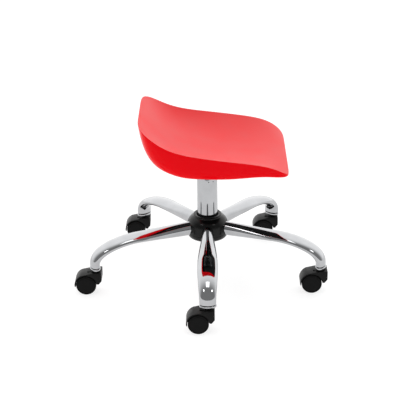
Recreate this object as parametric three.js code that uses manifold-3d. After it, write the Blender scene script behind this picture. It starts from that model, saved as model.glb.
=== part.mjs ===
// Rolling stylist stool: a moulded seat on a gas lift, and a five-arm chromed base on twin-wheel casters.
// Millimetres, +Z up. The origin is on the floor under the gas lift, and the sitter faces -Y.
import * as THREE from 'three';
import { mergeVertices } from 'three/addons/utils/BufferGeometryUtils.js';
import Module from 'manifold-3d';

const wasm = await Module();
wasm.setup();

// Driving dimensions
const clearance = 0.3;
const armCount = 5;

const column = {
  radius: 25, bore: 23, bottom: 100, top: 271,
  taperRadius: 23.2, taperBore: 18, taperTop: 146,
};
const cylinder = { radius: 14, bore: 7, boreTop: 298, bottom: 126, top: 318, shoulder: 11 };
const rod = { radius: 5, bottom: 103, top: 292 };
const bush = { bottom: 180, top: 275, flange: 24.6, flangeBottom: 271.3 };
const bearing = { radius: 13, bottom: 107, top: 112 };
const endClip = { radius: 17.6, bottom: 103, top: 106.7 };
const releasePin = { radius: 4, bottom: 308, top: 323.2, travel: 2.4 };

const sleeve = { radius: 33, bottom: 110, top: 152 };
// Radius and height of each edge of the dome over the hub, outside and inside.
const dome = {
  outer: [[51, 122], [50.2, 130], [50, 140], [49, 147], [46, 153], [42, 158], [37, 161.4], [35, 163], [35, 167]],
  inner: [[48, 121], [47.2, 131], [47, 140], [45.8, 146], [41, 152.6]],
  bore: 26, boreBottom: 140,
};
const tray = { outer: [[43, 108], [49, 112.6], [50.6, 121.7]], inner: [[41, 111], [46, 114], [47.6, 122.7]] };

const arm = {
  inner: 34, start: 133, knee: 176, kneeHeight: 128.6, reach: 288.8, tip: 66.3, stub: 7, wall: 2,
  bendReach: 46, bendSink: 1.6, bendDrop: 42, swellEnd: 0.62, narrowStart: 0.68,
  insideHub: 0.14, notchGap: 0.4,
  hubHalfWidth: 15, hubHalfHeight: 17.5, midHalfWidth: 24, midHalfHeight: 10.4,
  tipHalfWidth: 19.5, tipHalfHeight: 12,
};
const socket = {
  flangeBottom: 61, flangeTop: 66, plugTop: 75, bore: 5.8, edge: 0.8,
  plugHalfWidth: 14.2, plugHalfHeight: 8.5, plugOffset: 0.6,
};

const caster = {
  stemRadius: 5.5, stemBottom: 31, stemTop: 74, trail: 22, axleRadius: 3,
  wheelRadius: 24.5, wheelWidth: 15, wheelCorner: 2, wheelCap: 1.2, halfWidth: 22, sides: 20, runningGap: 0.05,
  hoodRadius: 28.5, hoodTop: 57, hoodBore: 25.6, tail: 4, finRadius: 12, finHalf: 6,
  noseReach: 16, noseBend: 36, noseBottom: 27, noseChamfer: 7, postLength: 22, postHeight: 34,
};

const seat = {
  front: 191.5, back: 160.5, halfWidth: 167, widestAhead: 46, frontTaper: 7, backTaper: 9.5, taperLength: 144,
  frontCorner: 11, backCorner: 6.5, skin: 5, skirt: 4.5, tuck: 0.25,
};
// Height of the rim over the column, its slope, its kick-up at the back and its fall at the front.
const rim = {
  height: 374.5, slope: 0.13, rise: 39.5, riseLength: 54, risePower: 1.6,
  fall: 25, fallStart: 30, fallLength: 160, fallPower: 5.2,
};
const dish = {
  depth: 24, sidePower: 2.2, endPower: 2.6,
  bucketStart: 40, bucketLength: 203, bucketPower: 2.6,
};
// Height of the skirt's foot, how far it tucks forward at the back, and where it swells up.
const foot = {
  height: 319, pull: 60, pullStart: 40, pullLength: 200,
  frontLift: 7, frontLiftAt: 132, frontLiftLength: 60, backLift: 8, backLiftAt: -98, backLiftLength: 34,
};
const plate = {
  width: 140, length: 135, ahead: 5.5, bottom: 332.3, top: 335.3,
  screwAcross: 55, screwAlong: 59.5,
};
const screw = {
  radius: 3, headRadius: 5.5, headBottom: 328, headTop: 332, top: 341.5,
  boss: 8, bossTop: 342,
};
const housing = {
  halfLength: 42, halfWidth: 35, wall: 2.5, bottom: 299, top: 332,
  slotWidth: 12, slotDepth: 26,
};
const liftSocket = { radius: 19, bore: 14.3, bottom: 279, top: 321 };
const lever = {
  radius: 3.5, inner: -7, pivot: 30, height: 327, outer: 170, hubRadius: 4.9, hubHalf: 9, pinRadius: 2.5,
  crankStart: 50, crankEnd: 80, crankSpread: 20, bend: 0.4,
};
const grip = { start: 120, end: 176, height: 303, halfWidth: 12, neckHalf: 6, thickness: 10 };

const finishes = {
  gloss: { color: 0xe20d1a, roughness: 0.25, metalness: 0 },
  chrome: { color: 0xc8c8c8, roughness: 0.08, metalness: 1 },
  steel: { color: 0x8f9296, roughness: 0.45, metalness: 0.9 },
  plastic: { color: 0x262626, roughness: 0.5, metalness: 0 },
  wheel: { color: 0x1a1a1a, roughness: 0.4, metalness: 0 },
  bush: { color: 0xd8d8d2, roughness: 0.5, metalness: 0 },
};

// Names a closed shape and gives it its finish.
function piece(name, geometry, finish) {
  const mesh = new THREE.Mesh(geometry, new THREE.MeshStandardMaterial(finishes[finish]));
  mesh.name = name;
  return mesh;
}

// Keeps only positions and joins the shared corners, so that the surface is closed.
function weld(geometry) {
  geometry.deleteAttribute('normal');
  geometry.deleteAttribute('uv');
  return mergeVertices(geometry, 1e-4);
}

function toSolid(geometry) {
  const welded = weld(geometry.clone());
  return new wasm.Manifold(new wasm.Mesh({
    numProp: 3,
    vertProperties: new Float32Array(welded.attributes.position.array),
    triVerts: new Uint32Array(welded.index.array),
  }));
}

function toGeometry(solid) {
  const mesh = solid.getMesh();
  const geometry = new THREE.BufferGeometry();
  geometry.setAttribute('position', new THREE.BufferAttribute(mesh.vertProperties, 3));
  geometry.setIndex(new THREE.BufferAttribute(mesh.triVerts, 1));
  return geometry;
}

// A turned body about Z from [radius, height] pairs.
// The profile starts and ends on the axis, or closes on itself.
function turned(profile, segments) {
  const points = profile.map(([radius, height]) => new THREE.Vector2(radius, height));
  return weld(new THREE.LatheGeometry(points, segments).rotateX(Math.PI / 2));
}

function closed(profile) {
  return [...profile, profile[0]];
}

// Closes an open profile onto the axis at both ends, so that it turns into a solid body.
function onAxis(profile) {
  return [[0, profile[0][1]], ...profile, [0, profile.at(-1)[1]]];
}

function block(width, depth, height, x, y, z) {
  return new THREE.BoxGeometry(width, depth, height).translate(x, y, z);
}

function upright(radius, bottom, top, segments) {
  return turned(onAxis([[radius, bottom], [radius, top]]), segments);
}

function ring(inner, outer, bottom, top, segments) {
  return turned(closed([[inner, bottom], [outer, bottom], [outer, top], [inner, top]]), segments);
}

// A round bar along X, centred on the given point.
function crossBar(radius, length, x, y, z) {
  return new THREE.CylinderGeometry(radius, radius, length, 12).rotateZ(Math.PI / 2).translate(x, y, z);
}

// A round bar along Y through the lever's pivot.
function pivotBar(radius, length) {
  return new THREE.CylinderGeometry(radius, radius, length, 12).translate(lever.pivot, 0, lever.height);
}

// A skin wrapped round an axis.
// place(turn, station) gives the point for each fraction of a turn and each station.
function wrapped(stations, segments, place) {
  const profile = Array.from({ length: stations }, (_, index) => new THREE.Vector2(1, index));
  const geometry = new THREE.LatheGeometry(profile, segments);
  const positions = geometry.attributes.position;
  for (let index = 0; index < positions.count; index += 1) {
    const turn = (Math.floor(index / stations) % segments) / segments;
    const point = place(turn, index % stations);
    positions.setXYZ(index, point.x, point.y, point.z);
  }
  return dropSlivers(weld(geometry));
}

// Takes out the triangles that fold to nothing where a skin's rings meet at a pole.
function dropSlivers(geometry) {
  const corners = geometry.index.array;
  const kept = [];
  for (let index = 0; index < corners.length; index += 3) {
    const [a, b, c] = corners.slice(index, index + 3);
    if (a !== b && b !== c && c !== a) {
      kept.push(a, b, c);
    }
  }
  geometry.setIndex(kept);
  return geometry;
}

// The seat's rim height at a distance ahead of the column.
function rimHeight(ahead) {
  const rise = rim.rise * Math.exp(-(((ahead + seat.back) / rim.riseLength) ** rim.risePower));
  const fall = rim.fall * Math.max(0, (ahead - rim.fallStart) / rim.fallLength) ** rim.fallPower;
  return rim.height - rim.slope * ahead + rise - fall;
}

// The seat's half width at a distance ahead of the column, before its corners are rounded.
function rimHalfWidth(ahead) {
  const taper = ahead > seat.widestAhead ? seat.frontTaper : seat.backTaper;
  return seat.halfWidth - taper * ((ahead - seat.widestAhead) / seat.taperLength) ** 2;
}

// The seat's outline: a rounded rectangle whose back corners are rounder than its front ones.
function rimPoint(turn) {
  const angle = turn * 2 * Math.PI;
  const middle = (seat.front - seat.back) / 2;
  const halfLength = (seat.front + seat.back) / 2;
  const sine = Math.sin(angle);
  const cosine = Math.cos(angle);
  const power = 2 / (sine > 0 ? seat.frontCorner : seat.backCorner);
  const across = Math.sign(cosine) * Math.abs(cosine) ** power;
  const along = Math.sign(sine) * Math.abs(sine) ** power;
  const ahead = middle + halfLength * along;
  return { across: across * rimHalfWidth(ahead), ahead };
}

// Height of the seat's upper face. It is level with the rim at the edge and dished between.
function topHeight(across, ahead) {
  const middle = (seat.front - seat.back) / 2;
  const halfLength = (seat.front + seat.back) / 2;
  const sideways = Math.min(1, Math.abs(across / rimHalfWidth(ahead)));
  const lengthways = Math.min(1, Math.abs((ahead - middle) / halfLength));
  const bucket = Math.max(0, (dish.bucketStart - ahead) / dish.bucketLength);
  const sidePower = dish.sidePower + dish.bucketPower * bucket;
  return rimHeight(ahead) - dish.depth * (1 - sideways ** sidePower) * (1 - lengthways ** dish.endPower);
}

// The foot of the skirt under a point of the outline.
function skirtFoot(edge) {
  const pull = foot.pull * Math.max(0, (foot.pullStart - edge.ahead) / foot.pullLength) ** 2;
  const ahead = edge.ahead + pull;
  const frontLift = foot.frontLift * Math.exp(-(((ahead - foot.frontLiftAt) / foot.frontLiftLength) ** 2));
  const backLift = foot.backLift * Math.exp(-(((ahead - foot.backLiftAt) / foot.backLiftLength) ** 2));
  const top = rimHeight(edge.ahead);
  const height = Math.min(foot.height + frontLift + backLift, top - seat.skin - 0.5);
  const across = edge.across * (1 - seat.tuck * (top - height) / seat.halfWidth);
  return { across, ahead, height };
}

// The skirt's outer face: nearly upright under the rim, then rounding in to its foot.
function skirtPoint(edge, drop) {
  const end = skirtFoot(edge);
  const top = rimHeight(edge.ahead);
  const bend = new THREE.QuadraticBezierCurve3(
    new THREE.Vector3(edge.across, -edge.ahead, top),
    new THREE.Vector3(
      THREE.MathUtils.lerp(edge.across, end.across, 0.15),
      -THREE.MathUtils.lerp(edge.ahead, end.ahead, 0.2),
      THREE.MathUtils.lerp(top, end.height, 0.92),
    ),
    new THREE.Vector3(end.across, -end.ahead, end.height),
  );
  return bend.getPoint(drop);
}

// Moves a point towards the seat's middle, level with itself.
function inward(point, distance) {
  const middle = (seat.front - seat.back) / 2;
  const fromMiddle = new THREE.Vector2(point.x, point.y + middle);
  const scale = 1 - distance / fromMiddle.length();
  return new THREE.Vector3(fromMiddle.x * scale, fromMiddle.y * scale - middle, point.z);
}

// The moulded shell: dished top, skirt turned down all round, open underneath.
function seatShell() {
  const spread = [0, 0.4, 0.68, 0.86, 0.96, 1];
  const drops = [0.35, 0.7, 1];
  const stations = [
    ...spread.map((reach) => ({ face: 'top', reach })),
    ...drops.map((drop) => ({ face: 'outer', drop })),
    ...drops.slice().reverse().map((drop) => ({ face: 'inner', drop })),
    ...spread.slice(0, 5).reverse().map((reach) => ({ face: 'under', reach })),
  ];
  const middle = (seat.front - seat.back) / 2;
  return wrapped(stations.length, 44, (turn, index) => {
    const station = stations[index];
    const edge = rimPoint(turn);
    if (station.face === 'outer') {
      return skirtPoint(edge, station.drop);
    }
    if (station.face === 'inner') {
      return inward(skirtPoint(edge, station.drop), seat.skirt);
    }
    const across = edge.across * station.reach;
    const ahead = middle + (edge.ahead - middle) * station.reach;
    const skin = station.face === 'under' ? seat.skin : 0;
    return new THREE.Vector3(across, -ahead, topHeight(across, ahead) - skin);
  });
}

// The arm's centre line in its own upright plane, x outwards from the column.
function armPath() {
  const path = new THREE.CurvePath();
  const start = new THREE.Vector3(arm.inner, 0, arm.start);
  const knee = new THREE.Vector3(arm.knee, 0, arm.kneeHeight);
  const stub = new THREE.Vector3(arm.reach, 0, arm.tip + arm.stub);
  path.add(new THREE.LineCurve3(start, knee));
  path.add(new THREE.CubicBezierCurve3(
    knee,
    new THREE.Vector3(arm.knee + arm.bendReach, 0, arm.kneeHeight - arm.bendSink),
    new THREE.Vector3(arm.reach, 0, arm.tip + arm.bendDrop),
    stub,
  ));
  path.add(new THREE.LineCurve3(stub, new THREE.Vector3(arm.reach, 0, arm.tip)));
  return path;
}

// The arm is tall and narrow at the hub, wide and flat along its run, and narrower at its tip.
function armHalfSize(along) {
  const swell = THREE.MathUtils.smoothstep(along, 0, arm.swellEnd);
  const narrow = THREE.MathUtils.smoothstep(along, arm.narrowStart, 1);
  const width = THREE.MathUtils.lerp(arm.hubHalfWidth, arm.midHalfWidth, swell);
  const height = THREE.MathUtils.lerp(arm.hubHalfHeight, arm.midHalfHeight, swell);
  return {
    width: THREE.MathUtils.lerp(width, arm.tipHalfWidth, narrow),
    height: THREE.MathUtils.lerp(height, arm.tipHalfHeight, narrow),
  };
}

// A ring of the arm's oval section, at a fraction of its length and inset from its outer face.
function armPoint(path, along, turn, inset) {
  const centre = path.getPointAt(along);
  const tangent = path.getTangentAt(along);
  const across = new THREE.Vector3(0, 1, 0);
  const upward = new THREE.Vector3().crossVectors(tangent, across).normalize();
  const half = armHalfSize(along);
  const angle = turn * 2 * Math.PI;
  return centre
    .addScaledVector(across, (half.width - inset) * Math.cos(angle))
    .addScaledVector(upward, (half.height - inset) * Math.sin(angle));
}

// The arm is an open-ended oval tube, bent down at its tip, with its hub end shaped to the sleeve.
function armTube() {
  const path = armPath();
  const steps = [0, 0.25, 0.42, 0.54, 0.62, 0.69, 0.75, 0.81, 0.86, 0.91, 0.955, 1];
  const outside = steps.map((along) => ({ along, inset: 0 }));
  const inside = steps.slice().reverse().map((along) => ({ along, inset: arm.wall }));
  const stations = [...outside, ...inside, outside[0]];
  return wrapped(stations.length, 16, (turn, index) => {
    const { along, inset } = stations[index];
    return armPoint(path, along, turn, inset);
  });
}

// An oval plug that closes the arm's open end and holds the caster's stem.
function stemSocket() {
  const flange = upright(1, socket.flangeBottom, socket.flangeTop, 16)
    .scale(arm.tipHalfHeight + socket.edge, arm.tipHalfWidth + socket.edge, 1)
    .translate(arm.reach, 0, 0);
  const insert = upright(1, socket.flangeTop - 1, socket.plugTop, 12)
    .scale(socket.plugHalfHeight, socket.plugHalfWidth, 1)
    .translate(arm.reach - socket.plugOffset, 0, 0);
  const bore = upright(socket.bore, socket.flangeBottom - 1, socket.plugTop + 1, 12)
    .translate(arm.reach, 0, 0);
  return toGeometry(toSolid(flange).add(toSolid(insert)).subtract(toSolid(bore)));
}

// The steel tube at the middle of the base, tapered to the column.
function hubSleeve() {
  return turned(closed([
    [column.taperRadius + clearance, sleeve.bottom],
    [sleeve.radius, sleeve.bottom],
    [sleeve.radius, sleeve.top],
    [column.radius + clearance, sleeve.top],
    [column.radius + clearance, column.taperTop],
  ]), 24);
}

// The moulded dome over the hub, notched round each arm.
function hubCover() {
  const outer = turned(onAxis(dome.outer), 30);
  const inner = turned(onAxis(dome.inner), 30);
  const bore = upright(dome.bore, dome.boreBottom, dome.outer.at(-1)[1] + 1, 30);
  return notchForArms(toSolid(outer).subtract(toSolid(inner)).subtract(toSolid(bore)));
}

// The shallow tray that closes the hub from below, notched round each arm.
function hubFloor() {
  const outer = turned(onAxis(tray.outer), 30);
  const inner = turned(onAxis(tray.inner), 30);
  const opening = upright(sleeve.radius + clearance, sleeve.bottom - 2, tray.inner.at(-1)[1], 30);
  return notchForArms(toSolid(outer).subtract(toSolid(inner)).subtract(toSolid(opening)));
}

// The arm's inner end as a solid plug, a little larger than the arm all round.
function armPlug() {
  const path = armPath();
  const ends = [0, 0, arm.insideHub, arm.insideHub];
  return wrapped(ends.length, 16, (turn, station) => {
    const isCap = station === 0 || station === ends.length - 1;
    return isCap ? path.getPointAt(ends[station]) : armPoint(path, ends[station], turn, -arm.notchGap);
  });
}

function notchForArms(solid) {
  let result = solid;
  for (let index = 0; index < armCount; index += 1) {
    result = result.subtract(toSolid(armPlug().rotateZ(armAngle(index))));
  }
  return toGeometry(result);
}

function armAngle(index) {
  return Math.PI + (index * 2 * Math.PI) / armCount;
}

// The lift's outer tube. Its lower end tapers to wedge in the hub sleeve.
function liftTube() {
  return turned(closed([
    [column.taperBore, column.bottom + 2],
    [column.taperRadius - 1, column.bottom + 2],
    [column.taperRadius - 0.2, column.taperTop - 2],
    [column.radius, column.taperTop + 0.3],
    [column.radius, column.top],
    [column.bore, column.top],
    [column.bore, column.taperTop + 4],
    [column.taperBore, column.taperTop - 4],
  ]), 28);
}

function liftCylinder() {
  const pinBore = releasePin.radius + clearance;
  const pinSeat = releasePin.bottom - releasePin.travel - clearance;
  return turned([
    [0, cylinder.boreTop],
    [cylinder.bore, cylinder.boreTop],
    [cylinder.bore, cylinder.bottom],
    [cylinder.radius, cylinder.bottom],
    [cylinder.radius, cylinder.top - 4],
    [cylinder.shoulder, cylinder.top],
    [pinBore, cylinder.top],
    [pinBore, pinSeat],
    [0, pinSeat],
  ], 24);
}

function guideBush() {
  return turned(closed([
    [cylinder.radius + clearance, bush.bottom],
    [column.bore - clearance, bush.bottom],
    [column.bore - clearance, bush.flangeBottom],
    [bush.flange, bush.flangeBottom],
    [bush.flange - 1, bush.top],
    [cylinder.radius + clearance, bush.top],
  ]), 20);
}

// One twin-wheel caster at rest trails towards +Y, with its axle along X.
// Its hood has a web between the wheels, and a post that carries the stem.
function casterHood() {
  const { trail, wheelRadius, hoodRadius, hoodBore, hoodTop, noseReach, noseBottom } = caster;
  const outline = new THREE.Shape();
  outline.moveTo(-noseReach, hoodTop);
  outline.lineTo(-noseReach, caster.noseBend);
  outline.lineTo(-noseReach + caster.noseChamfer, noseBottom);
  outline.lineTo(trail - hoodBore - 1.4, noseBottom);
  outline.lineTo(trail - hoodBore + 0.4, wheelRadius + caster.tail);
  outline.absarc(trail, wheelRadius, hoodBore, Math.PI - 0.16, 0.02, true);
  outline.lineTo(trail + hoodBore, wheelRadius - caster.tail);
  outline.lineTo(trail + hoodRadius - 0.8, wheelRadius - caster.tail);
  outline.absarc(trail, wheelRadius, hoodRadius, 0.02, Math.PI * 0.36, false);
  outline.lineTo(4, hoodTop);
  outline.closePath();
  const hood = extrudedAcross(outline, 2 * (caster.halfWidth - 1), 8);
  const disc = new THREE.Shape();
  disc.absarc(trail, wheelRadius, caster.finRadius, 0, 2 * Math.PI, false);
  const fin = extrudedAcross(disc, 2 * caster.finHalf, 5);
  const postMiddle = hoodTop - 1 - caster.postHeight / 2;
  const post = block(2 * caster.finHalf, caster.postLength, caster.postHeight, 0, 8, postMiddle);
  const stemBore = upright(caster.stemRadius + clearance, caster.stemBottom - 1, hoodTop + 1, 12);
  const axleBore = crossBar(caster.axleRadius + clearance, 60, 0, trail, wheelRadius);
  return toGeometry(toSolid(hood)
    .add(toSolid(fin))
    .add(toSolid(post))
    .subtract(toSolid(stemBore))
    .subtract(toSolid(axleBore)));
}

// Extrudes an outline drawn in (Y, Z) along X, centred on the caster's middle plane.
function extrudedAcross(outline, depth, curveSegments) {
  return new THREE.ExtrudeGeometry(outline, { depth, bevelEnabled: false, curveSegments })
    .rotateX(Math.PI / 2)
    .rotateZ(Math.PI / 2)
    .translate(-depth / 2, 0, 0);
}

// A wheel of twenty flats with a blind bore, turned so that one flat lies on the floor.
function casterWheel(side) {
  const { wheelRadius, halfWidth, wheelWidth, wheelCorner, sides } = caster;
  const inner = halfWidth - wheelWidth;
  const edge = wheelRadius / Math.cos(Math.PI / sides);
  const bore = caster.axleRadius + caster.runningGap;
  const capInside = halfWidth - caster.wheelCap;
  return turned([
    [0, capInside],
    [bore, capInside],
    [bore, inner],
    [edge - wheelCorner, inner],
    [edge, inner + wheelCorner],
    [edge, halfWidth - wheelCorner],
    [edge - wheelCorner, halfWidth],
    [0, halfWidth],
  ], sides)
    .rotateZ(Math.PI / sides)
    .rotateY((side * Math.PI) / 2)
    .translate(0, caster.trail, wheelRadius);
}

function addCaster(group, index) {
  const angle = armAngle(index);
  const number = index + 1;
  const holder = new THREE.Group();
  holder.position.set(arm.reach * Math.cos(angle), arm.reach * Math.sin(angle), 0);
  const stem = turned(onAxis([
    [caster.stemRadius, caster.stemBottom],
    [caster.stemRadius, caster.stemTop - 2],
    [caster.stemRadius - 1.5, caster.stemTop],
  ]), 16);
  const axle = crossBar(caster.axleRadius, 2 * caster.halfWidth - 3, 0, caster.trail, caster.wheelRadius);
  holder.add(piece(`caster_stem_${number}`, stem, 'steel'));
  holder.add(piece(`caster_hood_${number}`, casterHood(), 'plastic'));
  holder.add(piece(`caster_axle_${number}`, axle, 'steel'));
  holder.add(piece(`wheel_${number}_left`, casterWheel(1), 'wheel'));
  holder.add(piece(`wheel_${number}_right`, casterWheel(-1), 'wheel'));
  group.add(holder);
}

function addBase(group) {
  group.add(piece('hub_sleeve', hubSleeve(), 'steel'));
  group.add(piece('hub_cover', hubCover(), 'plastic'));
  group.add(piece('hub_floor', hubFloor(), 'plastic'));
  for (let index = 0; index < armCount; index += 1) {
    const branch = new THREE.Group();
    branch.rotation.z = armAngle(index);
    branch.add(piece(`base_arm_${index + 1}`, armTube(), 'chrome'));
    branch.add(piece(`stem_socket_${index + 1}`, stemSocket(), 'chrome'));
    group.add(branch);
    addCaster(group, index);
  }
}

function addLift(group) {
  group.add(piece('lift_outer_tube', liftTube(), 'chrome'));
  group.add(piece('lift_guide_bush', guideBush(), 'bush'));
  group.add(piece('lift_piston_rod', upright(rod.radius, rod.bottom, rod.top, 16), 'steel'));
  const rodBore = rod.radius + clearance;
  const thrustBearing = ring(rodBore, bearing.radius, bearing.bottom, bearing.top, 24);
  group.add(piece('lift_thrust_bearing', thrustBearing, 'steel'));
  const clip = ring(rodBore, endClip.radius, endClip.bottom, endClip.top, 24);
  group.add(piece('lift_end_clip', clip, 'steel'));
  group.add(piece('lift_gas_cylinder', liftCylinder(), 'steel'));
  const pin = upright(releasePin.radius, releasePin.bottom, releasePin.top, 16);
  group.add(piece('lift_release_pin', pin, 'steel'));
}

// The screws' places, [across, ahead] of the column.
function screwPlaces() {
  const { screwAcross, screwAlong, ahead } = plate;
  return [-1, 1].flatMap((side) => [-1, 1].map((end) => [side * screwAcross, ahead + end * screwAlong]));
}

// The seat shell with its four screw bosses.
function bossedSeat() {
  let seatSolid = toSolid(seatShell());
  for (const [across, ahead] of screwPlaces()) {
    const middleOfSkin = topHeight(across, ahead) - seat.skin / 2;
    const boss = upright(screw.boss, plate.top + clearance, middleOfSkin, 16).translate(across, -ahead, 0);
    seatSolid = seatSolid.add(toSolid(boss));
  }
  for (const [across, ahead] of screwPlaces()) {
    const hole = upright(screw.radius + clearance, plate.top - 1, screw.bossTop, 12)
      .translate(across, -ahead, 0);
    seatSolid = seatSolid.subtract(toSolid(hole));
  }
  return toGeometry(seatSolid);
}

function seatPlate() {
  const height = plate.top - plate.bottom;
  const sheet = block(plate.width, plate.length, height, 0, -plate.ahead, plate.bottom + height / 2);
  let solid = toSolid(sheet);
  for (const [across, ahead] of screwPlaces()) {
    const hole = upright(screw.radius + clearance, plate.bottom - 1, plate.top + 1, 12)
      .translate(across, -ahead, 0);
    solid = solid.subtract(toSolid(hole));
  }
  return toGeometry(solid);
}

function seatScrew(across, ahead) {
  return turned(onAxis([
    [screw.headRadius, screw.headBottom],
    [screw.headRadius, screw.headTop],
    [screw.radius, screw.headTop],
    [screw.radius, screw.top],
  ]), 12).translate(across, -ahead, 0);
}

// A folded steel box under the plate. It carries the lift socket and the lever's pivot.
function mechanismHousing() {
  const { halfLength, halfWidth, wall, bottom, top } = housing;
  const height = top - bottom;
  const outer = block(2 * halfLength, 2 * halfWidth, height, 0, 0, bottom + height / 2);
  const innerMiddle = bottom + wall + height / 2;
  const inner = block(2 * (halfLength - wall), 2 * (halfWidth - wall), height, 0, 0, innerMiddle);
  const neck = upright(liftSocket.radius + clearance, bottom - 1, bottom + wall + 1, 24);
  const slotMiddle = top + 1 - housing.slotDepth / 2;
  const slot = block(4 * wall, housing.slotWidth, housing.slotDepth, halfLength, 0, slotMiddle);
  return toGeometry(toSolid(outer)
    .subtract(toSolid(inner))
    .subtract(toSolid(neck))
    .subtract(toSolid(slot))
    .subtract(toSolid(pivotBar(lever.pinRadius + clearance, 3 * halfWidth))));
}

// The cranked lever. Its inner end lies on the release pin and its outer end carries the grip.
function leverRod() {
  const route = new THREE.CatmullRomCurve3([
    new THREE.Vector3(lever.inner, 0, lever.height),
    new THREE.Vector3(lever.pivot, 0, lever.height),
    new THREE.Vector3(lever.crankStart, 0, lever.height - 2),
    new THREE.Vector3(lever.crankEnd, 0, grip.height + 1),
    new THREE.Vector3(lever.crankEnd + lever.crankSpread, 0, grip.height),
    new THREE.Vector3(lever.outer, 0, grip.height),
  ], false, 'catmullrom', lever.bend);
  const section = new THREE.Shape().absarc(0, 0, lever.radius, 0, 2 * Math.PI, false);
  const bar = new THREE.ExtrudeGeometry(section, { extrudePath: route, steps: 14, curveSegments: 5 });
  return toGeometry(toSolid(bar)
    .add(toSolid(pivotBar(lever.hubRadius, 2 * lever.hubHalf)))
    .subtract(toSolid(pivotBar(lever.pinRadius + clearance, 4 * lever.hubHalf))));
}

// The moulded paddle on the lever's end, widening to a round tip.
function leverGrip() {
  const { halfWidth, neckHalf, thickness } = grip;
  const straight = grip.end - grip.start - halfWidth;
  const paddle = new THREE.Shape();
  paddle.moveTo(0, -neckHalf);
  paddle.lineTo(straight, -halfWidth);
  paddle.absarc(straight, 0, halfWidth, -Math.PI / 2, Math.PI / 2, false);
  paddle.lineTo(0, neckHalf);
  paddle.closePath();
  const body = new THREE.ExtrudeGeometry(paddle, { depth: thickness, bevelEnabled: false, curveSegments: 8 })
    .translate(grip.start, 0, grip.height - thickness / 2);
  const boreLength = lever.outer + clearance - grip.start + 1;
  const boreMiddle = lever.outer + clearance - boreLength / 2;
  const bore = crossBar(lever.radius + clearance, boreLength, boreMiddle, 0, grip.height);
  return toGeometry(toSolid(body).subtract(toSolid(bore)));
}

function addSeat(group) {
  group.add(piece('seat_shell', bossedSeat(), 'gloss'));
  group.add(piece('seat_plate', seatPlate(), 'steel'));
  screwPlaces().forEach(([across, ahead], index) => {
    group.add(piece(`seat_screw_${index + 1}`, seatScrew(across, ahead), 'steel'));
  });
  group.add(piece('mechanism_housing', mechanismHousing(), 'steel'));
  const { bore, radius, bottom, top } = liftSocket;
  group.add(piece('lift_socket', ring(bore, radius, bottom, top, 24), 'steel'));
  group.add(piece('lever_pivot_pin', pivotBar(lever.pinRadius, 2 * housing.halfWidth + 2), 'steel'));
  group.add(piece('release_lever', leverRod(), 'steel'));
  group.add(piece('lever_grip', leverGrip(), 'plastic'));
}

const stool = new THREE.Group();
addBase(stool);
addLift(stool);
addSeat(stool);

export default stool;
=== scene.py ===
import math

import bmesh
import bpy
from mathutils import Matrix, Vector


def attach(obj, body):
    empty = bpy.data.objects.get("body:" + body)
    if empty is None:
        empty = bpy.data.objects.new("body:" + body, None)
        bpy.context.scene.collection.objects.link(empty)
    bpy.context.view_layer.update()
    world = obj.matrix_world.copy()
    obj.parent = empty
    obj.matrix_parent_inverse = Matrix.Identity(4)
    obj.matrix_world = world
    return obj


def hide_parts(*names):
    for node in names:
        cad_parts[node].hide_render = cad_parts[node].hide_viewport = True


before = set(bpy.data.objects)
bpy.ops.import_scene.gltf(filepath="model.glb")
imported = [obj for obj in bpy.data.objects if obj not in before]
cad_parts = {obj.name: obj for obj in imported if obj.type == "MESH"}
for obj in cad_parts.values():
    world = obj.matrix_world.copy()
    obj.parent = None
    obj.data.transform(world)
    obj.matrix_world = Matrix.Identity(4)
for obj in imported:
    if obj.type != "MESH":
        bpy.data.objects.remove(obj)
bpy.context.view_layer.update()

mm = 0.001
fullTurn = 2 * math.pi
armNumbers = range(1, 6)
print("frame loaded")


# Turns an sRGB hex colour to the linear values that a shader takes.
def linear(hexColour):
    channels = [int(hexColour[start:start + 2], 16) / 255 for start in (1, 3, 5)]
    return [c / 12.92 if c <= 0.04045 else ((c + 0.055) / 1.055) ** 2.4 for c in channels] + [1.0]


# Adds one node, sets its sockets and links what feeds it.
def addNode(tree, kind, values=None, links=None, **settings):
    node = tree.nodes.new(kind)
    for key, value in settings.items():
        setattr(node, key, value)
    for key, value in (values or {}).items():
        node.inputs[key].default_value = value
    for key, source in (links or {}).items():
        tree.links.new(source, node.inputs[key])
    return node


# Noise scale, in repeats per metre, for a feature of this size.
def perMetre(sizeMm):
    return 1000 / sizeMm


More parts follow.
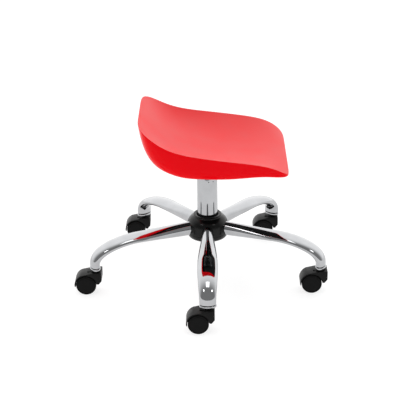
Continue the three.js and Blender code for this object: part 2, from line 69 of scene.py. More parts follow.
# A finish with a faint mottle in its colour and gloss, and a fine relief.
def makeFinish(name, spec):
    material = bpy.data.materials.new(name)
    material.use_nodes = True
    tree = material.node_tree
    shader = tree.nodes["Principled BSDF"]
    shader.inputs["Metallic"].default_value = spec.get("metallic", 0.0)
    shader.inputs["IOR"].default_value = spec.get("ior", 1.5)
    place = addNode(tree, "ShaderNodeTexCoord")
    mottle = addNode(tree, "ShaderNodeTexNoise", {"Scale": perMetre(spec["mottleMm"]), "Detail": 3.0},
                     {"Vector": place.outputs["Object"]})
    tint = addNode(tree, "ShaderNodeValToRGB", None, {"Fac": mottle.outputs["Fac"]})
    tint.color_ramp.elements[0].position = 0.3
    tint.color_ramp.elements[1].position = 0.7
    tint.color_ramp.elements[0].color = linear(spec["dark"])
    tint.color_ramp.elements[1].color = linear(spec["light"])
    gloss = addNode(tree, "ShaderNodeMapRange",
                    {"From Min": 0.3, "From Max": 0.7, "To Min": spec["smooth"], "To Max": spec["rough"]},
                    {"Value": mottle.outputs["Fac"]})
    grain = addNode(tree, "ShaderNodeTexNoise", {"Scale": perMetre(spec["grainMm"]), "Detail": 2.0},
                    {"Vector": place.outputs["Object"]})
    relief = addNode(tree, "ShaderNodeBump",
                     {"Strength": spec["grainStrength"], "Distance": spec["grainDepthMm"] * mm},
                     {"Height": grain.outputs["Fac"]})
    tree.links.new(tint.outputs["Color"], shader.inputs["Base Color"])
    tree.links.new(gloss.outputs["Result"], shader.inputs["Roughness"])
    tree.links.new(relief.outputs["Normal"], shader.inputs["Normal"])
    return material


# Gloss lacquer over moulded ABS, on the skirt: deep red with little reflection, and waves too long to see as
# texture. Its IOR, like those of the plastics below, is under the real one and tuned.
# The skirt's lacquer is the shaded copy of one red lacquer: its reflection is held down so that it stays deep
# red.
redLacquer = makeFinish("glossRedLacqueredAbs", {
    "dark": "#F8000E", "light": "#FC0011", "ior": 1.15, "smooth": 0.14, "rough": 0.18,
    "mottleMm": 60, "grainMm": 25, "grainDepthMm": 0.05, "grainStrength": 0.15,
})
# The face that is sat on: the same red with a hazier, stronger reflection, tuned so that it turns pink
# against the light.
# Painted sheen: the lit copy of the same lacquer, with a stronger, hazier reflection so that the face reads
# pink.
redSeatFacePaintedSheen = makeFinish("redLacqueredAbsPaintedSheen", {
    "dark": "#EC0009", "light": "#F0000B", "ior": 1.46, "smooth": 0.44, "rough": 0.5,
    "mottleMm": 60, "grainMm": 25, "grainDepthMm": 0.05, "grainStrength": 0.1,
})
# Bare moulded ABS inside the shell: near black and softly matt, with a spark-eroded grain drawn coarse.
blackShellInside = makeFinish("blackMouldedAbsInside", {
    "dark": "#080808", "light": "#0D0D0D", "ior": 1.3, "smooth": 0.5, "rough": 0.6,
    "mottleMm": 20, "grainMm": 1.5, "grainDepthMm": 0.1, "grainStrength": 0.4,
})
# Chrome plate on polished steel tube: mirror bright, with a trace of polishing haze.
chromePlate = makeFinish("brightChromePlatedSteel", {
    "dark": "#ADAEB0", "light": "#B6B7B9", "metallic": 1.0, "smooth": 0.03, "rough": 0.07,
    "mottleMm": 35, "grainMm": 18, "grainDepthMm": 0.05, "grainStrength": 0.12,
})
# Bright zinc-plated turned steel: pale grey and satin.
zincSteel = makeFinish("zincPlatedTurnedSteel", {
    "dark": "#8A8D91", "light": "#A0A3A7", "metallic": 1.0, "smooth": 0.25, "rough": 0.38,
    "mottleMm": 6, "grainMm": 1, "grainDepthMm": 0.03, "grainStrength": 0.3,
})
# Ground and polished steel of the spring's cylinder and rod: smooth and bright.
groundSteel = makeFinish("groundSteel", {
    "dark": "#A9ABAE", "light": "#B8BABD", "metallic": 1.0, "smooth": 0.12, "rough": 0.18,
    "mottleMm": 8, "grainMm": 2, "grainDepthMm": 0.02, "grainStrength": 0.2,
})
# Black powder coat on folded sheet steel: satin, with orange peel drawn at 2.5 mm.
powderCoat = makeFinish("blackPowderCoatedSteel", {
    "dark": "#151515", "light": "#1D1D1D", "smooth": 0.38, "rough": 0.48,
    "mottleMm": 15, "grainMm": 2.5, "grainDepthMm": 0.12, "grainStrength": 0.5,
})
# Polypropylene hub mouldings: black with a soft shine that picks out the rims.
blackHub = makeFinish("blackMouldedPolypropylene", {
    "dark": "#080808", "light": "#0C0C0C", "ior": 1.3, "smooth": 0.2, "rough": 0.28,
    "mottleMm": 12, "grainMm": 2, "grainDepthMm": 0.05, "grainStrength": 0.25,
})
# Moulded nylon caster hoods: charcoal and satin.
nylonHood = makeFinish("satinMouldedNylon", {
    "dark": "#101010", "light": "#151515", "ior": 1.22, "smooth": 0.3, "rough": 0.4,
    "mottleMm": 9, "grainMm": 1.2, "grainDepthMm": 0.06, "grainStrength": 0.35,
})
# Moulded nylon wheels: blacker than the hoods, worn a little smoother.
nylonWheel = makeFinish("blackMouldedNylonWheel", {
    "dark": "#080808", "light": "#0D0D0D", "ior": 1.2, "smooth": 0.3, "rough": 0.4,
    "mottleMm": 7, "grainMm": 1.2, "grainDepthMm": 0.05, "grainStrength": 0.3,
})
# Natural acetal bush: waxy off-white.
acetal = makeFinish("naturalAcetal", {
    "dark": "#D0D0CA", "light": "#DCDCD6", "smooth": 0.35, "rough": 0.45,
    "mottleMm": 8, "grainMm": 1, "grainDepthMm": 0.03, "grainStrength": 0.2,
})
print("finishes made")


# Marks the edges that stay crisp, so that smooth shading stops at them.
def markCreases(bm, degrees=35):
    for edge in bm.edges:
        edge.smooth = len(edge.link_faces) == 2 and edge.calc_face_angle(0) < math.radians(degrees)
    for face in bm.faces:
        face.smooth = True


# Rounds the edges that turn more sharply than the angle.
def roundEdges(bm, radiusMm, steps=2, degrees=30):
    limit = math.radians(degrees)
    sharp = [edge for edge in bm.edges if edge.is_manifold and edge.calc_face_angle(0) > limit]
    bmesh.ops.bevel(bm, geom=sharp, offset=radiusMm * mm, offset_type="OFFSET", segments=steps, profile=0.5,
                    affect="EDGES", clamp_overlap=True, material=-1)


# Makes the finished piece: it rides on its body and stands for its CAD solids.
def finishPiece(name, bm, body, material, nodes, slotName):
    markCreases(bm)
    mesh = bpy.data.meshes.new(name)
    bm.to_mesh(mesh)
    bm.free()
    mesh.materials.append(material)
    piece = bpy.data.objects.new(name, mesh)
    bpy.context.scene.collection.objects.link(piece)
    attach(piece, body)
    if nodes:
        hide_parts(*nodes)
    return piece


# A turned body from [radius, height] pairs in millimetres. A profile that leaves the axis closes on itself.
def turnedMesh(profile, steps=72, roundMm=0.0):
    bm = bmesh.new()
    verts = [bm.verts.new((radius * mm, 0, height * mm)) for radius, height in profile]
    pairs = list(zip(verts, verts[1:]))
    if profile[0][0] > 0:
        pairs.append((verts[-1], verts[0]))
    edges = [bm.edges.new(pair) for pair in pairs]
    bmesh.ops.spin(bm, geom=verts + edges, cent=(0, 0, 0), axis=(0, 0, 1), angle=fullTurn, steps=steps,
                   use_merge=True)
    bmesh.ops.remove_doubles(bm, verts=bm.verts, dist=1e-6)
    bmesh.ops.recalc_face_normals(bm, faces=bm.faces)
    if roundMm:
        roundEdges(bm, roundMm)
    return bm


# A skin made from a flat grid: place(turn, along) gives each point, and the seam is welded.
def wrappedMesh(turnSteps, alongSteps, place):
    bm = bmesh.new()
    bmesh.ops.create_grid(bm, x_segments=turnSteps, y_segments=alongSteps, size=0.5)
    for vert in bm.verts:
        vert.co = place(vert.co.x + 0.5, vert.co.y + 0.5)
    bmesh.ops.remove_doubles(bm, verts=bm.verts, dist=1e-6)
    return bm


def smoothStep(value, start, end):
    share = min(1.0, max(0.0, (value - start) / (end - start)))
    return share * share * (3 - 2 * share)


def mix(a, b, share):
    return a + (b - a) * share


# A point at a fraction of a polyline's length, with the direction there.
def pointAlong(points, fraction):
    lengths = [(b - a).length for a, b in zip(points, points[1:])]
    left = fraction * sum(lengths)
    for index, length in enumerate(lengths):
        if left <= length or index == len(lengths) - 1:
            start, end = points[index], points[index + 1]
            return start.lerp(end, min(1.0, left / length)), (end - start).normalized()
        left -= length


# Seat shell, in millimetres. ahead is measured from the column towards the sitter's knees.
seat = {
    "front": 191.5, "back": 160.5, "halfWidth": 167, "widestAhead": 46, "frontTaper": 7, "backTaper": 9.5,
    "taperLength": 144, "frontCorner": 11, "backCorner": 6.5, "skin": 5, "wall": 4.5, "tuck": 0.25,
    "rimRadius": 4.5, "rimSteps": 6, "skirtSteps": 18, "gridSteps": 96,
    "insideReach": 0.95, "insideDrop": 0.3,
}
rim = {"height": 374.5, "slope": 0.13, "rise": 39.5, "riseLength": 54, "risePower": 1.6,
       "fall": 25, "fallStart": 30, "fallLength": 160, "fallPower": 5.2}
dish = {"depth": 24, "sidePower": 2.2, "endPower": 2.6,
        "bucketStart": 40, "bucketLength": 203, "bucketPower": 2.6}
foot = {"height": 319, "pull": 60, "pullStart": 40, "pullLength": 200, "frontLift": 7, "frontLiftAt": 132,
        "frontLiftLength": 60, "backLift": 8, "backLiftAt": -98, "backLiftLength": 34, "thinnest": 5.5,
        "bendAcross": 0.15, "bendAhead": 0.2, "bendDown": 0.92}
plate = {"ahead": 5.5, "top": 335.3, "screwAcross": 55, "screwAlong": 59.5, "boss": 8, "bossGap": 0.3}
seatMiddle = (seat["front"] - seat["back"]) / 2
seatHalfLength = (seat["front"] + seat["back"]) / 2


def bell(value, centre, length):
    return math.exp(-(((value - centre) / length) ** 2))


def rimHeight(ahead):
    rise = rim["rise"] * math.exp(-(((max(0, ahead + seat["back"])) / rim["riseLength"]) ** rim["risePower"]))
    fall = rim["fall"] * max(0, (ahead - rim["fallStart"]) / rim["fallLength"]) ** rim["fallPower"]
    return rim["height"] - rim["slope"] * ahead + rise - fall


def rimHalfWidth(ahead):
    taper = seat["frontTaper"] if ahead > seat["widestAhead"] else seat["backTaper"]
    return seat["halfWidth"] - taper * ((ahead - seat["widestAhead"]) / seat["taperLength"]) ** 2


# Squeezes a square's point into the seat's rounded outline, ring by ring.
def seatPlan(u, v):
    power = seat["frontCorner"] if v > 0 else seat["backCorner"]
    reach = max(abs(u), abs(v))
    if reach < 1e-9:
        return 0.0, seatMiddle
    shrink = reach / (abs(u) ** power + abs(v) ** power) ** (1 / power)
    ahead = seatMiddle + seatHalfLength * v * shrink
    return u * shrink * rimHalfWidth(ahead), ahead


def seatHeight(across, ahead):
    sideways = min(1.0, abs(across / rimHalfWidth(ahead)))
    lengthways = min(1.0, abs((ahead - seatMiddle) / seatHalfLength))
    bucket = max(0, (dish["bucketStart"] - ahead) / dish["bucketLength"])
    sidePower = dish["sidePower"] + dish["bucketPower"] * bucket
    fullness = (1 - sideways ** sidePower) * (1 - lengthways ** dish["endPower"])
    return rimHeight(ahead) - dish["depth"] * fullness


# A point of the skirt below a point of the rim: upright at first, then rounding in to its foot.
def skirtPoint(across, ahead, drop):
    top = seatHeight(across, ahead)
    pull = foot["pull"] * max(0, (foot["pullStart"] - ahead) / foot["pullLength"]) ** 2
    endAhead = ahead + pull
    lift = foot["frontLift"] * bell(endAhead, foot["frontLiftAt"], foot["frontLiftLength"])
    lift += foot["backLift"] * bell(endAhead, foot["backLiftAt"], foot["backLiftLength"])
    endHeight = min(foot["height"] + lift, rimHeight(ahead) - foot["thinnest"])
    endAcross = across * (1 - seat["tuck"] * (rimHeight(ahead) - endHeight) / seat["halfWidth"])
    start = Vector((across, -ahead, top))
    bend = Vector((mix(across, endAcross, foot["bendAcross"]), -mix(ahead, endAhead, foot["bendAhead"]),
                   mix(top, endHeight, foot["bendDown"])))
    end = Vector((endAcross, -endAhead, endHeight))
    return start.lerp(bend, drop).lerp(bend.lerp(end, drop), drop)


# Moves a point level with itself towards the seat's middle.
def inward(point, distance):
    spoke = Vector((point.x, point.y + seatMiddle, 0))
    return point - spoke.normalized() * distance


# One skin of the shell: the dished face out to a share of the outline, then the skirt down to its foot.
def seatSkin(bm, reach, sink, inset, firstDrop):
    start = set(bm.verts)
    bmesh.ops.create_grid(bm, x_segments=seat["gridSteps"], y_segments=seat["gridSteps"], size=1)
    plans = {}
    for vert in [vert for vert in bm.verts if vert not in start]:
        plans[vert] = seatPlan(vert.co.x, vert.co.y)
        across, ahead = plans[vert][0] * reach, seatMiddle + (plans[vert][1] - seatMiddle) * reach
        vert.co = Vector((across, -ahead, seatHeight(across, ahead) - sink)) * mm
    # The dished face takes slot 2, the lacquer's lit copy with painted sheen.
    for face in {face for vert in plans for face in vert.link_faces}:
        face.material_index = 2
    rimEdges = [edge for edge in bm.edges if edge.is_boundary and edge.verts[0] in plans]
    edges = rimEdges
    for step in range(1, seat["skirtSteps"] + 1):
        made = bmesh.ops.extrude_edge_only(bm, edges=edges)["geom"]
        fresh = {item for item in made if isinstance(item, bmesh.types.BMVert)}
        drop = mix(firstDrop, 1, step / seat["skirtSteps"])
        for vert in fresh:
            above = next(e.other_vert(vert) for e in vert.link_edges if e.other_vert(vert) not in fresh)
            plans[vert] = plans[above]
            vert.co = inward(skirtPoint(*plans[above], drop), inset) * mm
        # The skirt takes slot 0, the shaded copy of the same lacquer.
        for item in made:
            if isinstance(item, bmesh.types.BMFace):
                item.material_index = 0
        edges = [item for item in made if isinstance(item, bmesh.types.BMEdge) and set(item.verts) <= fresh]
    return rimEdges, edges, {plans[vert]: vert for edge in edges for vert in edge.verts}


# The red outer skin with its rounded rim, the black inner one, and the four screw bosses under the face.
def makeSeat():
    bm = bmesh.new()
    insideFoot = seatSkin(bm, seat["insideReach"], seat["skin"], seat["wall"], seat["insideDrop"])[2]
    inside = set(bm.faces)
    rimEdges, footEdges, outsideFoot = seatSkin(bm, 1, 0, 0, 0)
    plans = {vert: plan for plan, vert in outsideFoot.items()}
    for edge in footEdges:
        first, second = edge.verts
        bm.faces.new((first, second, insideFoot[plans[second]], insideFoot[plans[first]]))
    rounded = bmesh.ops.bevel(bm, geom=rimEdges, offset=seat["rimRadius"] * mm, offset_type="OFFSET",
                              segments=seat["rimSteps"], profile=0.5, affect="EDGES", clamp_overlap=True,
                              material=-1)
    bmesh.ops.recalc_face_normals(bm, faces=bm.faces)
    for face in inside:
        face.material_index = 1
    # The rounded rim takes the face's painted-sheen copy too.
    for face in rounded["faces"]:
        face.material_index = 2
    for across in (-plate["screwAcross"], plate["screwAcross"]):
        for end in (-plate["screwAlong"], plate["screwAlong"]):
            ahead = plate["ahead"] + end
            low, high = plate["top"] + plate["bossGap"], seatHeight(across, ahead) - seat["skin"] / 2
            middle = Vector((across, -ahead, (low + high) / 2)) * mm
            boss = bmesh.ops.create_cone(bm, cap_ends=True, segments=28, radius1=plate["boss"] * mm,
                                         radius2=plate["boss"] * mm, depth=(high - low) * mm,
                                         matrix=Matrix.Translation(middle))
            for face in {face for vert in boss["verts"] for face in vert.link_faces}:
                face.material_index = 1
    return bm


seatPiece = finishPiece("seatShell", makeSeat(), "seat", redLacquer, ["seat_shell"], "seat_plastic")
seatPiece.data.materials.append(blackShellInside)
seatPiece.data.materials.append(redSeatFacePaintedSheen)
print("seat made", len(seatPiece.data.polygons))

# Gas lift: the fixed outer tube, the bush in its mouth and the spring that slides in it.
turnedPieces = {
    "liftOuterTube": {
        "profile": [[18, 102], [22.2, 102], [23, 144], [25, 146.3], [25, 271], [23, 271], [23, 150],
                    [18, 142]],
        "round": 0.6, "body": "base", "finish": chromePlate, "node": "lift_outer_tube", "slot": "chrome"},
    "liftGuideBush": {
        "profile": [[14.3, 180], [22.7, 180], [22.7, 271.3], [24.6, 271.3], [23.6, 275], [14.3, 275]],
        "round": 0.4, "body": "base", "finish": acetal, "node": "lift_guide_bush", "slot": "bush_plastic"},
    "liftPistonRod": {
        "profile": [[0, 103], [5, 103], [5, 292], [0, 292]],
        "round": 0.5, "body": "base", "finish": groundSteel, "node": "lift_piston_rod", "slot": "bare_steel"},
    "liftThrustBearing": {
        "profile": [[5.3, 107], [13, 107], [13, 112], [5.3, 112]],
        "round": 0.4, "body": "base", "finish": groundSteel, "node": "lift_thrust_bearing",
        "slot": "bare_steel"},
    "liftEndClip": {
        "profile": [[5.3, 103], [17.6, 103], [17.6, 106.7], [5.3, 106.7]],
        "round": 0.5, "body": "base", "finish": zincSteel, "node": "lift_end_clip", "slot": "bare_steel"},
    "hubSleeve": {
        "profile": [[23.5, 110], [33, 110], [33, 152], [25.3, 152], [25.3, 146]],
        "round": 0.6, "body": "base", "finish": powderCoat, "node": "hub_sleeve", "slot": "bare_steel"},
    "liftGasCylinder": {
        "profile": [[0, 298], [7, 298], [7, 126], [14, 126], [14, 314], [11, 318], [4.3, 318], [4.3, 305.3],
                    [0, 305.3]],
        "round": 0.4, "body": "gas_spring", "finish": groundSteel, "node": "lift_gas_cylinder",
        "slot": "bare_steel"},
    "liftReleasePin": {
        "profile": [[0, 308], [4, 308], [4, 323.2], [0, 323.2]],
        "round": 0.6, "body": "release_button", "finish": zincSteel, "node": "lift_release_pin",
        "slot": "bare_steel"},
    "liftSocket": {
        "profile": [[14.3, 279], [19, 279], [19, 321], [14.3, 321]],
        "round": 0.6, "body": "seat", "finish": powderCoat, "node": "lift_socket", "slot": "coated_steel"},
}
for name, spec in turnedPieces.items():
    finishPiece(name, turnedMesh(spec["profile"], roundMm=spec["round"]), spec["body"], spec["finish"],
                [spec["node"]], spec["slot"])

# Two small dark marks on the tube, a little below its mouth.
punch = {"radius": 1.3, "depth": 1, "height": 259, "degrees": (188.5, 215), "tubeRadius": 25, "proud": 0.06}
marks = bmesh.new()
for degrees in punch["degrees"]:
    spot = bmesh.ops.create_cone(marks, cap_ends=True, segments=20, radius1=punch["radius"] * mm,
                                 radius2=punch["radius"] * mm, depth=punch["depth"] * mm)
    outwards = Vector((math.cos(math.radians(degrees)), math.sin(math.radians(degrees)), 0))
    bmesh.ops.rotate(marks, cent=(0, 0, 0), matrix=outwards.to_track_quat("Z", "Y").to_matrix(),
                     verts=spot["verts"])
    middle = outwards * (punch["tubeRadius"] + punch["proud"] - punch["depth"] / 2)
    bmesh.ops.translate(marks, vec=(middle + Vector((0, 0, punch["height"]))) * mm, verts=spot["verts"])
finishPiece("tubePunchMarks", marks, "base", blackShellInside, [], "chrome")
print("lift turned")

# Hub mouldings: a dome round the column with a raised lip, and a shallow tray under it.
hub = {
    "dome": [[51, 122], [50.2, 130], [50, 140], [49, 147], [46, 153], [42, 158], [37, 161.4], [35.2, 162.6],
             [35, 165.4], [33.6, 167], [28, 167], [26.4, 165.4], [26.2, 153], [41, 152.6], [45.8, 146],
             [47, 140], [47.2, 131], [48, 122]],
    "tray": [[33.3, 108], [43, 108], [47, 109.8], [49, 112.6], [50.6, 121.7], [47.6, 121.7], [46, 114],
             [42.6, 111], [33.3, 111]],
}
finishPiece("hubCover", turnedMesh(hub["dome"], steps=96, roundMm=0.5), "base", blackHub, ["hub_cover"],
            "black_plastic")
finishPiece("hubFloor", turnedMesh(hub["tray"], steps=96, roundMm=0.4), "base", blackHub, ["hub_floor"],
            "black_plastic")

# Five arms of oval steel tube, bent down at the tip. Stations run along the tube by length.
arm = {
    "inner": 34, "start": 133, "knee": 176, "kneeHeight": 128.6, "reach": 288.8, "tip": 66.3, "stub": 7,
    "wall": 2, "bendReach": 46, "bendSink": 1.6, "bendDrop": 42, "swellEnd": 0.62, "narrowStart": 0.68,
    "hubHalfWidth": 15, "hubHalfHeight": 17.5, "midHalfWidth": 24, "midHalfHeight": 10.4,
    "tipHalfWidth": 19.5, "tipHalfHeight": 12,
}


def armCentreLine(steps=60):
    knee = Vector((arm["knee"], 0, arm["kneeHeight"]))
    leave = knee + Vector((arm["bendReach"], 0, -arm["bendSink"]))
    land = Vector((arm["reach"], 0, arm["tip"] + arm["bendDrop"]))
    stub = Vector((arm["reach"], 0, arm["tip"] + arm["stub"]))
    points = [Vector((arm["inner"], 0, arm["start"]))]
    for step in range(steps + 1):
        t = step / steps
        points.append(knee * (1 - t) ** 3 + leave * 3 * t * (1 - t) ** 2 + land * 3 * t * t * (1 - t)
                      + stub * t ** 3)
    points.append(Vector((arm["reach"], 0, arm["tip"])))
    return points


def armHalfSize(along):
    swell = smoothStep(along, 0, arm["swellEnd"])
    narrow = smoothStep(along, arm["narrowStart"], 1)
    width = mix(arm["hubHalfWidth"], arm["midHalfWidth"], swell)
    height = mix(arm["hubHalfHeight"], arm["midHalfHeight"], swell)
    return mix(width, arm["tipHalfWidth"], narrow), mix(height, arm["tipHalfHeight"], narrow)


# The outer skin runs out to the tip, folds over and runs back inside the wall.
def makeArm(steps=72):
    centreLine = armCentreLine()

    def place(turn, fold):
        inset = 0 if fold <= 0.5 else arm["wall"]
        along = 2 * fold if fold <= 0.5 else 2 * (1 - fold)
        centre, direction = pointAlong(centreLine, along)
        upward = direction.cross(Vector((0, 1, 0))).normalized()
        halfWidth, halfHeight = armHalfSize(along)
        across = (halfWidth - inset) * math.cos(turn * fullTurn)
        up = (halfHeight - inset) * math.sin(turn * fullTurn)
        return (centre + Vector((0, across, 0)) + upward * up) * mm

    bm = wrappedMesh(56, 2 * steps + 1, place)
    ends = [edge for edge in bm.edges if edge.is_boundary]
    bmesh.ops.bridge_loops(bm, edges=ends)
    bmesh.ops.recalc_face_normals(bm, faces=bm.faces)
    return bm


socket = {"thickness": 5, "height": 63.5, "halfLength": 12.8, "halfWidth": 20.3, "edgeRound": 1.5}


# Oval cap on the arm's open end, with a bright rounded lip.
def makeSocket():
    bm = bmesh.new()
    bmesh.ops.create_cone(bm, cap_ends=True, segments=56, radius1=mm, radius2=mm,
                          depth=socket["thickness"] * mm,
                          matrix=Matrix.Translation((0, 0, socket["height"] * mm)))
    bmesh.ops.scale(bm, vec=(socket["halfLength"], socket["halfWidth"], 1), verts=bm.verts)
    roundEdges(bm, socket["edgeRound"], steps=4)
    bmesh.ops.translate(bm, vec=(arm["reach"] * mm, 0, 0), verts=bm.verts)
    return bm


# Twin-wheel casters. At rest each trails towards +Y, with its axle along X.
caster = {
    "trail": 22, "wheelRadius": 24.5, "hoodRadius": 28.5, "hoodBore": 25.6, "hoodTop": 57, "hoodHalf": 21,
    "tail": 4, "tailThin": 0.8, "tailAngle": 0.02, "noseReach": 16, "noseBend": 36, "noseBottom": 27,
    "noseChamfer": 7, "noseLip": 1.4, "noseAngle": 0.16, "crownAngle": math.pi * 0.36, "crownStart": 4,
    "webRadius": 12, "webWidth": 12, "postWidth": 12, "postLength": 22, "postHeight": 34, "postAlong": 8,
    "postMiddle": 39, "edgeRound": 1.4, "axleRadius": 3, "axleHalf": 20.5,
}


def arc(centreY, centreZ, radius, start, end, steps):
    angles = [mix(start, end, step / steps) for step in range(steps + 1)]
    return [(centreY + radius * math.cos(angle), centreZ + radius * math.sin(angle)) for angle in angles]


# The hood's side outline, in (Y, Z) about the stem, from the nose round over the wheel to the tail.
def hoodOutline():
    c = caster
    outline = [(-c["noseReach"], c["hoodTop"]), (-c["noseReach"], c["noseBend"]),
               (-c["noseReach"] + c["noseChamfer"], c["noseBottom"]),
               (c["trail"] - c["hoodBore"] - c["noseLip"], c["noseBottom"])]
    outline += arc(c["trail"], c["wheelRadius"], c["hoodBore"], math.pi - c["noseAngle"], c["tailAngle"], 40)
    outline += [(c["trail"] + c["hoodBore"], c["wheelRadius"] - c["tail"]),
                (c["trail"] + c["hoodRadius"] - c["tailThin"], c["wheelRadius"] - c["tail"])]
    outline += arc(c["trail"], c["wheelRadius"], c["hoodRadius"], c["tailAngle"], c["crownAngle"], 20)
    outline += [(c["crownStart"], c["hoodTop"])]
    return outline


# The hood's shell is one extrusion. A round web and a block for the stem stand between the wheels.
def makeHood():
    c = caster
    bm = bmesh.new()
    half = c["hoodHalf"] * mm
    verts = [bm.verts.new((-half, y * mm, z * mm)) for y, z in hoodOutline()]
    side = bm.faces.new(verts)
    made = bmesh.ops.extrude_face_region(bm, geom=[side])["geom"]
    farSide = [item for item in made if isinstance(item, bmesh.types.BMVert)]
    bmesh.ops.translate(bm, vec=(2 * half, 0, 0), verts=farSide)
    bmesh.ops.recalc_face_normals(bm, faces=bm.faces)
    roundEdges(bm, c["edgeRound"], steps=3, degrees=40)
    web = bmesh.ops.create_cone(bm, cap_ends=True, segments=48, radius1=c["webRadius"] * mm,
                                radius2=c["webRadius"] * mm, depth=c["webWidth"] * mm)
    bmesh.ops.rotate(bm, cent=(0, 0, 0), matrix=Matrix.Rotation(math.pi / 2, 3, "Y"), verts=web["verts"])
    bmesh.ops.translate(bm, vec=(0, c["trail"] * mm, c["wheelRadius"] * mm), verts=web["verts"])
    post = bmesh.ops.create_cube(bm, size=1)
    postSize = Vector((c["postWidth"], c["postLength"], c["postHeight"])) * mm
    bmesh.ops.scale(bm, vec=postSize, verts=post["verts"])
    bmesh.ops.translate(bm, vec=(0, c["postAlong"] * mm, c["postMiddle"] * mm), verts=post["verts"])
    return bm


# A wheel seen from outside: round-shouldered tread, a fine groove inside the rim and a shallow dished face.
wheelProfile = [[0, 20.8], [3.05, 20.8], [3.05, 7], [22.5, 7], [24.5, 9], [24.5, 19.6], [23.7, 21.4],
                [22.4, 22], [21.4, 22], [20.9, 21.2], [20.1, 21.2], [19.6, 21.9], [8, 21.5], [0, 21.5]]


def makeWheel(side):
    bm = turnedMesh(wheelProfile, steps=72, roundMm=0.35)
    bmesh.ops.rotate(bm, cent=(0, 0, 0), matrix=Matrix.Rotation(side * math.pi / 2, 3, "Y"), verts=bm.verts)
    bmesh.ops.translate(bm, vec=(0, caster["trail"] * mm, caster["wheelRadius"] * mm), verts=bm.verts)
    return bm


def makeAxle():
    radius, half = caster["axleRadius"], caster["axleHalf"]
    bm = turnedMesh([[0, -half], [radius, -half], [radius, half], [0, half]], steps=32, roundMm=0.5)
    bmesh.ops.rotate(bm, cent=(0, 0, 0), matrix=Matrix.Rotation(math.pi / 2, 3, "Y"), verts=bm.verts)
    bmesh.ops.translate(bm, vec=(0, caster["trail"] * mm, caster["wheelRadius"] * mm), verts=bm.verts)
    return bm


# The stem's edges as [radius, height], with its collar just over the hood.
stemProfile = [[0, 31], [5.5, 31], [5.5, 57.4], [7.6, 57.4], [7.6, 59.4], [5.5, 59.4], [5.5, 72], [4, 74],
               [0, 74]]


def makeStem():
    return turnedMesh(stemProfile, steps=40, roundMm=0.4)


for number in armNumbers:
    angle = math.pi + (number - 1) * fullTurn / 5
    turn = Matrix.Rotation(angle, 3, "Z")
    tip = turn @ Vector((arm["reach"] * mm, 0, 0))
    for name, bm, node in (("baseArm", makeArm(), "base_arm"), ("stemSocket", makeSocket(), "stem_socket")):
        bmesh.ops.rotate(bm, cent=(0, 0, 0), matrix=turn, verts=bm.verts)
        finishPiece(f"{name}{number}", bm, "base", chromePlate, [f"{node}_{number}"], "chrome")
    casterPieces = (
        ("casterHood", makeHood(), f"caster_{number}", nylonHood, f"caster_hood_{number}", "caster_plastic"),
        ("casterStem", makeStem(), f"caster_{number}", zincSteel, f"caster_stem_{number}", "bare_steel"),
        ("casterAxle", makeAxle(), f"caster_{number}", zincSteel, f"caster_axle_{number}", "bare_steel"),
        ("wheelLeft", makeWheel(1), f"wheel_{number}_left", nylonWheel, f"wheel_{number}_left",
         "wheel_plastic"),
        ("wheelRight", makeWheel(-1), f"wheel_{number}_right", nylonWheel, f"wheel_{number}_right",
         "wheel_plastic"),
    )
    for name, bm, body, finish, node, slotName in casterPieces:
        bmesh.ops.translate(bm, vec=tip, verts=bm.verts)
        finishPiece(f"{name}{number}", bm, body, finish, [node], slotName)
print("base and casters made")

# Under the seat: the fixing screws, the release lever and its grip.
lever = {
    "radius": 3.5, "inner": -7, "pivot": 30, "height": 327, "outer": 170, "hubRadius": 4.9, "hubHalf": 9,
    "crankStart": 50, "crankEnd": 80, "crankSpread": 20, "tension": 0.4,
}
grip = {"start": 120, "end": 176, "height": 303, "halfWidth": 12, "neckHalf": 6, "thickness": 10}


# A screw's edges as [radius, height], with the driver's recess in its head.
screwProfile = [[0, 330.2], [2.2, 330.2], [2.2, 328], [4, 328], [5.5, 330], [5.5, 332], [3, 332], [3, 341.5],
                [0, 341.5]]


def makeScrew(across, ahead):
    bm = turnedMesh(screwProfile, steps=36, roundMm=0.3)
    bmesh.ops.translate(bm, vec=(across * mm, -ahead * mm, 0), verts=bm.verts)
    return bm


# The lever's centre line, a smooth curve through its bends.
def leverLine():
    knots = [(lever["inner"], lever["height"]), (lever["pivot"], lever["height"]),
             (lever["crankStart"], lever["height"] - 2), (lever["crankEnd"], grip["height"] + 1),
             (lever["crankEnd"] + lever["crankSpread"], grip["height"]), (lever["outer"], grip["height"])]
    knots = [Vector((x, 0, z)) for x, z in knots]
    knots = [2 * knots[0] - knots[1]] + knots + [2 * knots[-1] - knots[-2]]
    points = []
    for before, start, end, after in zip(knots, knots[1:], knots[2:], knots[3:]):
        leave, arrive = (end - before) * lever["tension"], (after - start) * lever["tension"]
        for step in range(12):
            t = step / 12
            points.append(start * (2 * t ** 3 - 3 * t ** 2 + 1) + leave * (t ** 3 - 2 * t ** 2 + t)
                          + end * (3 * t ** 2 - 2 * t ** 3) + arrive * (t ** 3 - t ** 2))
    return points + [knots[-2]]


def makeLever():
    line = leverLine()

    def place(turn, along):
        centre, direction = pointAlong(line, along)
        upward = direction.cross(Vector((0, 1, 0))).normalized()
        radius = lever["radius"]
        return (centre + Vector((0, radius * math.cos(turn * fullTurn), 0))
                + upward * radius * math.sin(turn * fullTurn)) * mm

    bm = wrappedMesh(24, 80, place)
    bmesh.ops.holes_fill(bm, edges=[edge for edge in bm.edges if edge.is_boundary])
    bmesh.ops.recalc_face_normals(bm, faces=bm.faces)
    boss = bmesh.ops.create_cone(bm, cap_ends=True, segments=32, radius1=lever["hubRadius"] * mm,
                                 radius2=lever["hubRadius"] * mm, depth=2 * lever["hubHalf"] * mm)
    bmesh.ops.rotate(bm, cent=(0, 0, 0), matrix=Matrix.Rotation(math.pi / 2, 3, "X"), verts=boss["verts"])
    bmesh.ops.translate(bm, vec=(lever["pivot"] * mm, 0, lever["height"] * mm), verts=boss["verts"])
    return bm


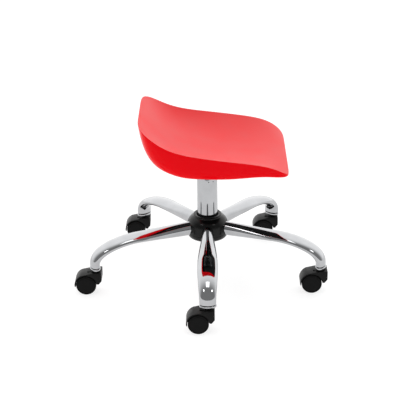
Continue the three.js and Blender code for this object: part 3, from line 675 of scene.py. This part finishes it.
# A flat paddle that widens to a round tip, with soft edges all round.
def makeGrip():
    straight = grip["end"] - grip["halfWidth"]
    outline = [(grip["start"], grip["neckHalf"]), (grip["start"], -grip["neckHalf"])]
    outline += [(straight + grip["halfWidth"] * math.cos(angle), grip["halfWidth"] * math.sin(angle))
                for angle in [mix(-math.pi / 2, math.pi / 2, step / 24) for step in range(25)]]
    bm = bmesh.new()
    low = (grip["height"] - grip["thickness"] / 2) * mm
    face = bm.faces.new([bm.verts.new((x * mm, y * mm, low)) for x, y in outline])
    made = bmesh.ops.extrude_face_region(bm, geom=[face])["geom"]
    raised = [item for item in made if isinstance(item, bmesh.types.BMVert)]
    bmesh.ops.translate(bm, vec=(0, 0, grip["thickness"] * mm), verts=raised)
    bmesh.ops.recalc_face_normals(bm, faces=bm.faces)
    roundEdges(bm, 3, steps=4, degrees=40)
    return bm


screwNumber = 0
for across in (-plate["screwAcross"], plate["screwAcross"]):
    for end in (-plate["screwAlong"], plate["screwAlong"]):
        screwNumber += 1
        finishPiece(f"seatScrew{screwNumber}", makeScrew(across, plate["ahead"] + end), "seat", zincSteel,
                    [f"seat_screw_{screwNumber}"], "bare_steel")
finishPiece("releaseLever", makeLever(), "lever", zincSteel, ["release_lever"], "bare_steel")
finishPiece("leverGrip", makeGrip(), "lever", blackHub, ["lever_grip"], "black_plastic")

# The folded plate, the mechanism's box and the pivot pin keep their CAD solids and take a real finish.
keptSolids = {"seat_plate": powderCoat, "mechanism_housing": powderCoat, "lever_pivot_pin": zincSteel}
for node, finish in keptSolids.items():
    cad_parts[node].data.materials.clear()
    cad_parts[node].data.materials.append(finish)
print("under-seat pieces made")

# A white floor that glows a little, as a lit table does, so that shadows on it stay faint.
studio = {"floorSize": 14, "floorColour": "#A0A0A0", "floorGlow": 0.78, "skyBright": 1.5, "skyDim": 0.32,
          "dimBefore": -0.45, "brightFrom": 0.5}
floorMesh = bmesh.new()
bmesh.ops.create_grid(floorMesh, x_segments=1, y_segments=1, size=studio["floorSize"] / 2)
bmesh.ops.translate(floorMesh, vec=(0, 0, -0.0003), verts=floorMesh.verts)
floorData = bpy.data.meshes.new("studioFloor")
floorMesh.to_mesh(floorData)
floorMesh.free()
floor = bpy.data.objects.new("studioFloor", floorData)
bpy.context.scene.collection.objects.link(floor)
floorPaint = bpy.data.materials.new("litWhiteAcrylicTable")
floorPaint.use_nodes = True
floorShader = floorPaint.node_tree.nodes["Principled BSDF"]
floorShader.inputs["Base Color"].default_value = linear(studio["floorColour"])
floorShader.inputs["Roughness"].default_value = 0.9
floorShader.inputs["Specular IOR Level"].default_value = 0.0
floorShader.inputs["Emission Color"].default_value = linear("#FFFFFF")
floorShader.inputs["Emission Strength"].default_value = studio["floorGlow"]
floorData.materials.append(floorPaint)

# The room: bright behind the stool and overhead, dimmer behind the camera.
world = bpy.data.worlds.new("studioRoom")
bpy.context.scene.world = world
world.use_nodes = True
sky = world.node_tree
place = addNode(sky, "ShaderNodeTexCoord")
axes = addNode(sky, "ShaderNodeSeparateXYZ", None, {"Vector": place.outputs["Generated"]})
glow = addNode(sky, "ShaderNodeMapRange",
               {"From Min": studio["dimBefore"], "From Max": studio["brightFrom"],
                "To Min": studio["skyDim"], "To Max": studio["skyBright"]},
               {"Value": axes.outputs["X"]}, interpolation_type="SMOOTHSTEP")
sky.links.new(glow.outputs["Result"], sky.nodes["Background"].inputs["Strength"])
sky.nodes["Background"].inputs["Color"].default_value = linear("#FFFFFF")

lamps = [
    {"name": "overheadSoftbox", "place": (-0.5, 0.0, 2.4), "size": 0.8, "power": 4.5},
    {"name": "leftSoftbox", "place": (-1.3, 1.2, 2.0), "size": 0.35, "power": 2.5},
    {"name": "rightSoftbox", "place": (-1.3, -1.4, 1.9), "size": 0.35, "power": 2.5},
]
for spec in lamps:
    light = bpy.data.lights.new(spec["name"], "AREA")
    light.size = spec["size"]
    light.energy = spec["power"]
    lamp = bpy.data.objects.new(spec["name"], light)
    lamp.location = spec["place"]
    lamp.rotation_euler = (Vector((0, 0, 0.2)) - lamp.location).to_track_quat("-Z", "Y").to_euler()
    bpy.context.scene.collection.objects.link(lamp)

# Camera
view = {"place": (-2.8357, -0.0148, 1.4329), "aim": (0, -0.00135, 0.1804), "lens": 108.9,
        "rollDegrees": -0.55}
cameraData = bpy.data.cameras.new("camera")
cameraData.lens = view["lens"]
cameraData.sensor_width = 36
camera = bpy.data.objects.new("camera", cameraData)
camera.location = view["place"]
sight = (Vector(view["aim"]) - camera.location).to_track_quat("-Z", "Y")
camera.rotation_mode = "QUATERNION"
roll = Matrix.Rotation(math.radians(view["rollDegrees"]), 3, "Z").to_quaternion()
camera.rotation_quaternion = sight @ roll
bpy.context.scene.collection.objects.link(camera)
bpy.context.scene.camera = camera
bpy.context.scene.view_settings.view_transform = "Standard"
print("studio set")
